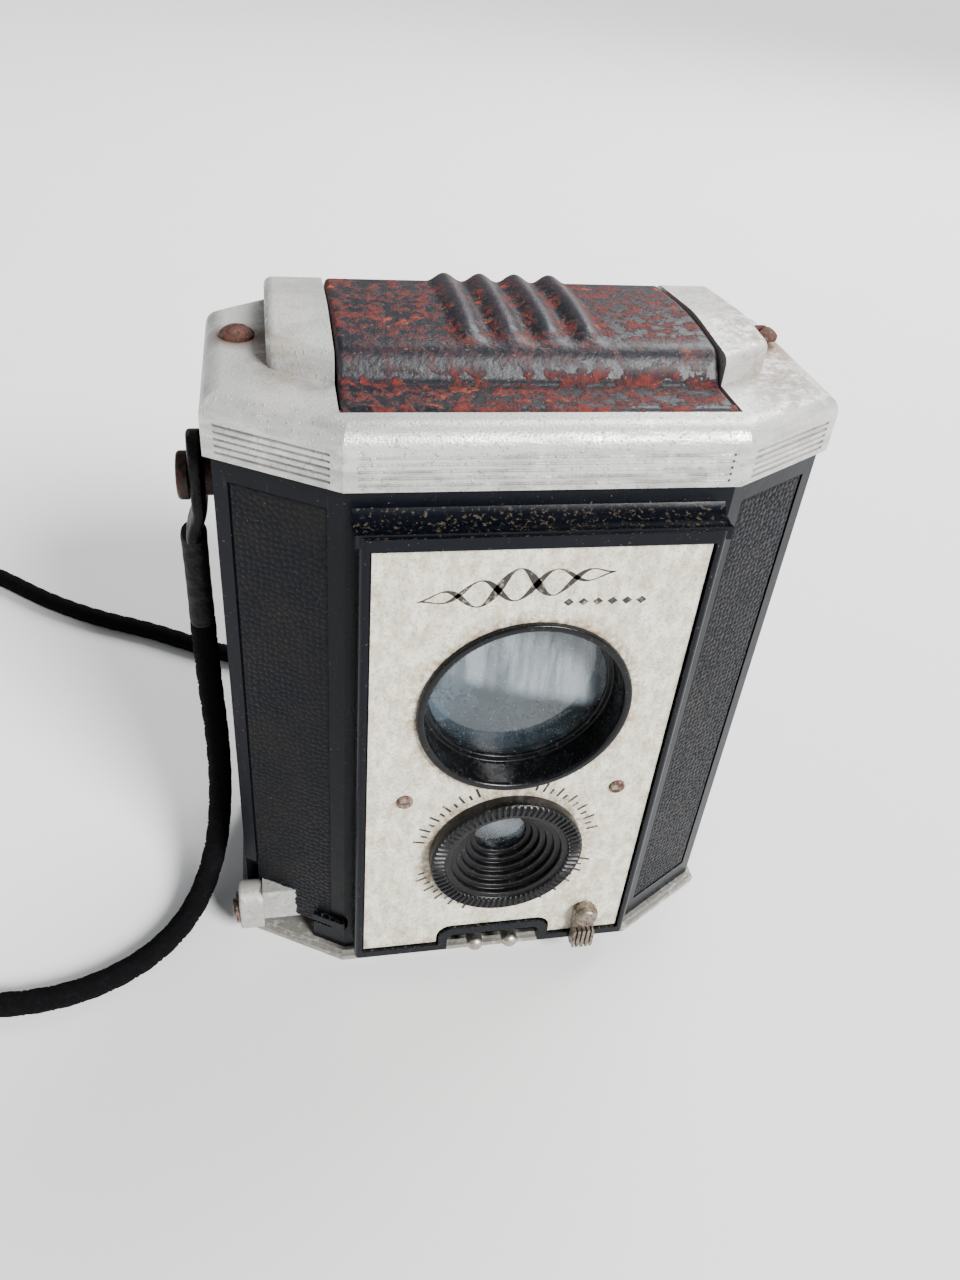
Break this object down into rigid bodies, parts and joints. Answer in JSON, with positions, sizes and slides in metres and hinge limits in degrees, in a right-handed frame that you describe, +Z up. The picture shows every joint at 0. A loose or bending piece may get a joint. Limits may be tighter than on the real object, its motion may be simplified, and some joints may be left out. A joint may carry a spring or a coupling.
{
  "type": "twin lens reflex camera",
  "caption": "Box-shaped roll film camera with a viewing lens above a taking lens, a hinged hood over its finder, a hinged back, a winding knob and a neck cord.",
  "frame": {"origin": "middle of the underside of the base plate, on the surface the camera stands on", "axes": "+Z up, -Y the way the lenses point, +X to the right of someone looking at the lenses"},
  "size_m": [0.2033, 0.1415, 0.1117],
  "materials": {
    "bakelite": "glossy moulded, grained panels",
    "cap_metal": "matte, aged",
    "hood_metal": "worn enamel",
    "plate_metal": "speckled satin enamel",
    "base_metal": "rough cast, dull",
    "black_metal": "satin black",
    "ring_plastic": "matte black",
    "glass": "clear",
    "mirror": "front-silvered",
    "window": "deep red",
    "steel": "tarnished",
    "nickel": "worn nickel over brass",
    "insulator": "matte",
    "spool": "satin black",
    "leather": "creased black",
    "cord": "braided",
    "sleeve": "dull, scuffed"
  },
  "bodies": {
    "case": {"aperture_plate": "ring_plastic", "back_hinge_pins": "steel", "base_plate": "base_metal", "base_screws": "steel", "blind_pins": "steel", "cap_screws": "steel", "cord_sleeve_left": "sleeve", "cord_sleeve_right": "sleeve", "faceplate": "plate_metal", "film_gate": "black_metal", "finder_bezel": "black_metal", "finder_frame": "hood_metal", "finder_lens": "glass", "finder_mirror": "mirror", "finder_retainer": "black_metal", "flash_insulator": "insulator", "flash_pins": "nickel", "front_body": "bakelite", "guide_rods": "steel", "hood_hinge_pin": "steel", "lens_ring": "ring_plastic", "light_cone": "black_metal", "mirror_box": "ring_plastic", "neck_cord": "cord", "plate_rivets": "steel", "shutter_pivot": "steel", "shutter_plate": "ring_plastic", "spool_pins": "steel", "spool_springs": "steel", "strap_lug_left": "steel", "strap_lug_right": "steel", "strap_tab_left": "leather", "strap_tab_right": "leather", "taking_lens": "glass", "top_cap": "cap_metal", "viewing_glass": "glass"},
    "hood": {"hood_lid": "hood_metal"},
    "blind_left": {"blind_left": "hood_metal"},
    "blind_right": {"blind_right": "hood_metal"},
    "exposure": {"exposure_lever": "steel", "exposure_shaft": "steel", "exposure_cam": "steel"},
    "release": {"shutter_release": "base_metal", "release_rod": "steel", "release_rivet": "steel", "release_spring": "steel"},
    "shutter": {"shutter_disc": "steel"},
    "winding": {"winding_knob": "steel", "winding_key": "steel", "takeup_spool": "spool"},
    "supply": {"supply_spool": "spool"},
    "back": {"back_cover": "bakelite", "film_window": "window"},
    "latch": {"back_latch": "steel"}
  },
  "joints": [
    {"name": "hood_hinge", "type": "hinge", "parent": "case", "child": "hood", "pos_m": [0, -0.0176, 0.1046], "axis": [1, 0, 0], "range_deg": [0, 95]},
    {"name": "blind_left_hinge", "type": "hinge", "parent": "case", "child": "blind_left", "pos_m": [-0.0244, 0.003, 0.1038], "axis": [0, -1, 0], "range_deg": [0, 88.1]},
    {"name": "blind_right_hinge", "type": "hinge", "parent": "case", "child": "blind_right", "pos_m": [0.0244, 0.003, 0.1038], "axis": [0, 1, 0], "range_deg": [0, 88.1]},
    {"name": "exposure_turn", "type": "hinge", "parent": "case", "child": "exposure", "pos_m": [0.0163, -0.027, 0.0126], "axis": [0, -1, 0], "range_deg": [0, 60]},
    {"name": "release_push", "type": "slide", "parent": "case", "child": "release", "axis": [1, 0, 0], "range_m": [0, 0.003], "stiffness_N_per_m": 250, "springref_m": -0.001},
    {"name": "shutter_turn", "type": "hinge", "parent": "case", "child": "shutter", "pos_m": [-0.0085, -0.0197, 0.034], "axis": [0, -1, 0], "range_deg": [0, 60]},
    {"name": "winding_turn", "type": "hinge", "parent": "case", "child": "winding", "pos_m": [0.0312, 0.001, 0], "axis": [0, 0, 1], "continuous": true},
    {"name": "supply_turn", "type": "hinge", "parent": "case", "child": "supply", "pos_m": [-0.0312, 0.001, 0.03], "axis": [0, 0, 1], "continuous": true},
    {"name": "back_hinge", "type": "hinge", "parent": "case", "child": "back", "pos_m": [0.0446, 0.012, 0.05], "axis": [0, 0, -1], "range_deg": [0, 115]},
    {"name": "latch_slide", "type": "slide", "parent": "case", "child": "latch", "axis": [1, 0, 0], "range_m": [0, 0.0045]}
  ],
  "couplings": [
    {"joint": "blind_left_hinge", "follows": "hood_hinge", "ratio": 0.926},
    {"joint": "blind_right_hinge", "follows": "hood_hinge", "ratio": 0.926},
    {"joint": "shutter_turn", "follows": "release_push", "rad_per_m": 340}
  ]
}
